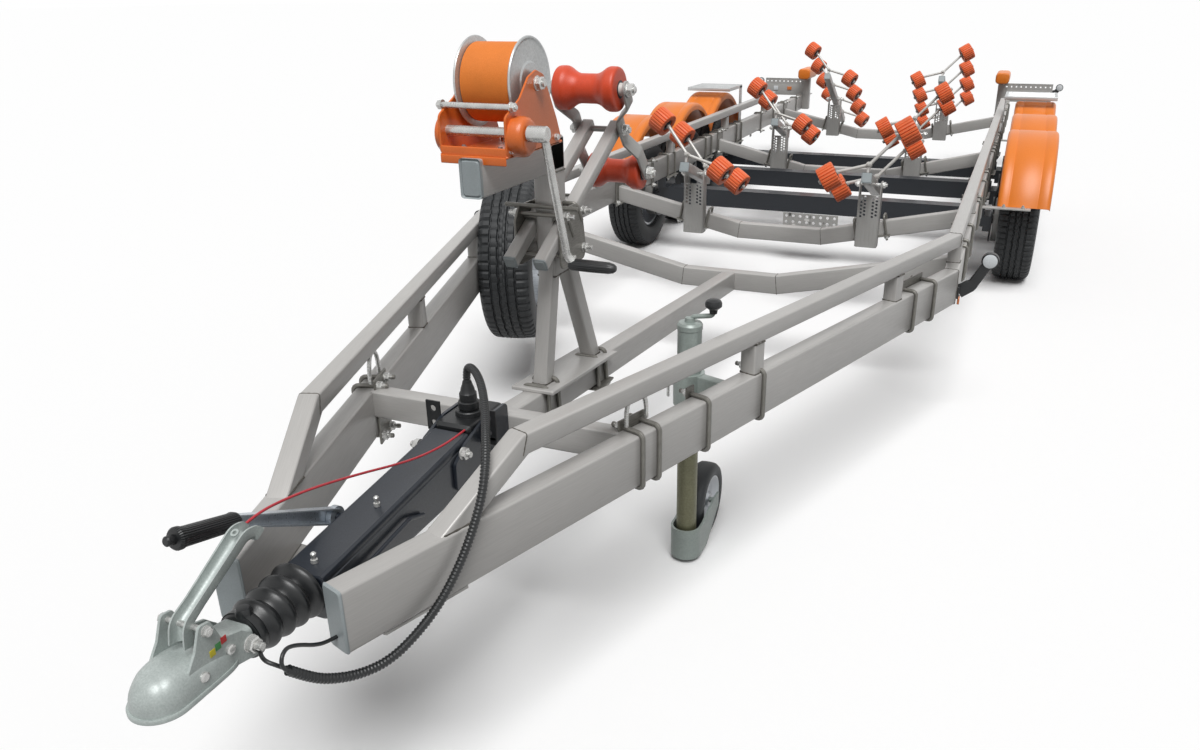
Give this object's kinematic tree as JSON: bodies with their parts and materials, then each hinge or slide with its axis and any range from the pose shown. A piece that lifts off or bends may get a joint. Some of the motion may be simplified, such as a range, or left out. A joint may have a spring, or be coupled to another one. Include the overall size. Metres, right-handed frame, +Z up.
{
  "type": "boat trailer",
  "caption": "Long V-drawbar boat trailer with mudguards over the wheels, rocking hull roller cradles, a strap winch and a jockey wheel.",
  "frame": {"origin": "on the ground below the middle of the whole length", "axes": "+Y to the rear, +X to the right of someone who looks to the rear, +Z up"},
  "size_m": [2.69, 8.56, 1.409],
  "materials": {
    "galvanised_steel": "brushed",
    "zinc_steel": "satin",
    "dark_paint": "satin",
    "axle_paint": "satin",
    "silver_paint": "satin",
    "orange_paint": "satin",
    "orange_plastic": "gloss",
    "orange_rubber": "satin",
    "tyre_rubber": "matte",
    "black_rubber": "matte",
    "strap_webbing": "woven",
    "board_plastic": "satin",
    "red_cable": "gloss"
  },
  "bodies": {
    "chassis": {"axles": "axle_paint", "bellows": "black_rubber", "bow_yoke": "zinc_steel", "breakaway_cable": "red_cable", "coupling_head": "zinc_steel", "coupling_lever": "zinc_steel", "crossmembers": "galvanised_steel", "drawbar_ties": "galvanised_steel", "guide_pads": "orange_plastic", "handbrake_lever": "dark_paint", "jockey_tube": "zinc_steel", "keel_beam": "galvanised_steel", "light_boards": "board_plastic", "main_beams": "galvanised_steel", "marker_arms": "black_rubber", "mudguard_stays": "galvanised_steel", "mudguards": "orange_plastic", "overrun_housing": "dark_paint", "parked_plug": "board_plastic", "plug_conduit": "black_rubber", "roller_posts": "galvanised_steel", "spare_rim": "silver_paint", "spare_tyre": "tyre_rubber", "thin_cable_beam": "black_rubber", "thin_cable_coupling": "black_rubber", "top_rails": "galvanised_steel", "winch_frame": "orange_paint", "winch_stand": "galvanised_steel"},
    "wheel_front_right": {"tyre_front_right": "tyre_rubber", "rim_front_right": "silver_paint"},
    "wheel_front_left": {"tyre_front_left": "tyre_rubber", "rim_front_left": "silver_paint"},
    "wheel_middle_right": {"tyre_middle_right": "tyre_rubber", "rim_middle_right": "silver_paint"},
    "wheel_middle_left": {"tyre_middle_left": "tyre_rubber", "rim_middle_left": "silver_paint"},
    "wheel_rear_right": {"tyre_rear_right": "tyre_rubber", "rim_rear_right": "silver_paint"},
    "wheel_rear_left": {"tyre_rear_left": "tyre_rubber", "rim_rear_left": "silver_paint"},
    "winch_drum": {"winch_drum": "zinc_steel", "winch_strap": "strap_webbing"},
    "winch_crank": {"winch_crank": "zinc_steel"},
    "bow_roller": {"bow_roller": "orange_rubber"},
    "lower_roller": {"lower_roller": "orange_rubber"},
    "jockey_leg": {"jockey_leg": "zinc_steel"},
    "jockey_fork": {"jockey_fork": "zinc_steel"},
    "jockey_wheel": {"jockey_wheel": "black_rubber"},
    "cradle_front_right": {"cradle_front_right": "galvanised_steel", "hull_rollers_front_right": "orange_rubber"},
    "cradle_front_left": {"cradle_front_left": "galvanised_steel", "hull_rollers_front_left": "orange_rubber"},
    "cradle_middle_right": {"cradle_middle_right": "galvanised_steel", "hull_rollers_middle_right": "orange_rubber"},
    "cradle_middle_left": {"cradle_middle_left": "galvanised_steel", "hull_rollers_middle_left": "orange_rubber"},
    "cradle_rear_right": {"cradle_rear_right": "galvanised_steel", "hull_rollers_rear_right": "orange_rubber"},
    "cradle_rear_left": {"cradle_rear_left": "galvanised_steel", "hull_rollers_rear_left": "orange_rubber"}
  },
  "joints": [
    {"name": "wheel_front_right_spin", "type": "hinge", "parent": "chassis", "child": "wheel_front_right", "pos_m": [1.115, 0.525, 0.314], "axis": [1, 0, 0], "continuous": true},
    {"name": "wheel_front_left_spin", "type": "hinge", "parent": "chassis", "child": "wheel_front_left", "pos_m": [-1.115, 0.525, 0.314], "axis": [1, 0, 0], "continuous": true},
    {"name": "wheel_middle_right_spin", "type": "hinge", "parent": "chassis", "child": "wheel_middle_right", "pos_m": [1.115, 1.265, 0.314], "axis": [1, 0, 0], "continuous": true},
    {"name": "wheel_middle_left_spin", "type": "hinge", "parent": "chassis", "child": "wheel_middle_left", "pos_m": [-1.115, 1.265, 0.314], "axis": [1, 0, 0], "continuous": true},
    {"name": "wheel_rear_right_spin", "type": "hinge", "parent": "chassis", "child": "wheel_rear_right", "pos_m": [1.115, 2.005, 0.314], "axis": [1, 0, 0], "continuous": true},
    {"name": "wheel_rear_left_spin", "type": "hinge", "parent": "chassis", "child": "wheel_rear_left", "pos_m": [-1.115, 2.005, 0.314], "axis": [1, 0, 0], "continuous": true},
    {"name": "winch_drum_spin", "type": "hinge", "parent": "chassis", "child": "winch_drum", "pos_m": [0, -3.102, 1.312], "axis": [1, 0, 0], "continuous": true},
    {"name": "winch_crank_spin", "type": "hinge", "parent": "chassis", "child": "winch_crank", "pos_m": [0, -3.218, 1.222], "axis": [1, 0, 0], "continuous": true},
    {"name": "bow_roller_spin", "type": "hinge", "parent": "chassis", "child": "bow_roller", "pos_m": [0, -2.648, 1.259], "axis": [1, 0, 0], "continuous": true},
    {"name": "lower_roller_spin", "type": "hinge", "parent": "chassis", "child": "lower_roller", "pos_m": [0, -2.468, 1.016], "axis": [1, 0, 0], "continuous": true},
    {"name": "jockey_lift", "type": "slide", "parent": "chassis", "child": "jockey_leg", "axis": [0, 0, 1], "range_m": [0, 0.18]},
    {"name": "jockey_swivel", "type": "hinge", "parent": "jockey_leg", "child": "jockey_fork", "pos_m": [0.345, -2.815, 0.022], "axis": [0, 0, 1], "continuous": true},
    {"name": "jockey_wheel_spin", "type": "hinge", "parent": "jockey_fork", "child": "jockey_wheel", "pos_m": [0.345, -2.665, 0.11], "axis": [1, 0, 0], "continuous": true},
    {"name": "cradle_front_right_tilt", "type": "hinge", "parent": "chassis", "child": "cradle_front_right", "pos_m": [0.44, -0.408, 0.638], "axis": [1, 0, 0], "range_deg": [0, 38]},
    {"name": "cradle_front_left_tilt", "type": "hinge", "parent": "chassis", "child": "cradle_front_left", "pos_m": [-0.44, -0.408, 0.638], "axis": [1, 0, 0], "range_deg": [0, 38]},
    {"name": "cradle_middle_right_tilt", "type": "hinge", "parent": "chassis", "child": "cradle_middle_right", "pos_m": [0.44, 1.402, 0.638], "axis": [1, 0, 0], "range_deg": [0, 38]},
    {"name": "cradle_middle_left_tilt", "type": "hinge", "parent": "chassis", "child": "cradle_middle_left", "pos_m": [-0.44, 1.402, 0.638], "axis": [1, 0, 0], "range_deg": [0, 38]},
    {"name": "cradle_rear_right_tilt", "type": "hinge", "parent": "chassis", "child": "cradle_rear_right", "pos_m": [0.44, 3.342, 0.638], "axis": [1, 0, 0], "range_deg": [0, 38]},
    {"name": "cradle_rear_left_tilt", "type": "hinge", "parent": "chassis", "child": "cradle_rear_left", "pos_m": [-0.44, 3.342, 0.638], "axis": [1, 0, 0], "range_deg": [0, 38]}
  ],
  "couplings": [
    {"joint": "winch_crank_spin", "follows": "winch_drum_spin", "ratio": -4}
  ]
}
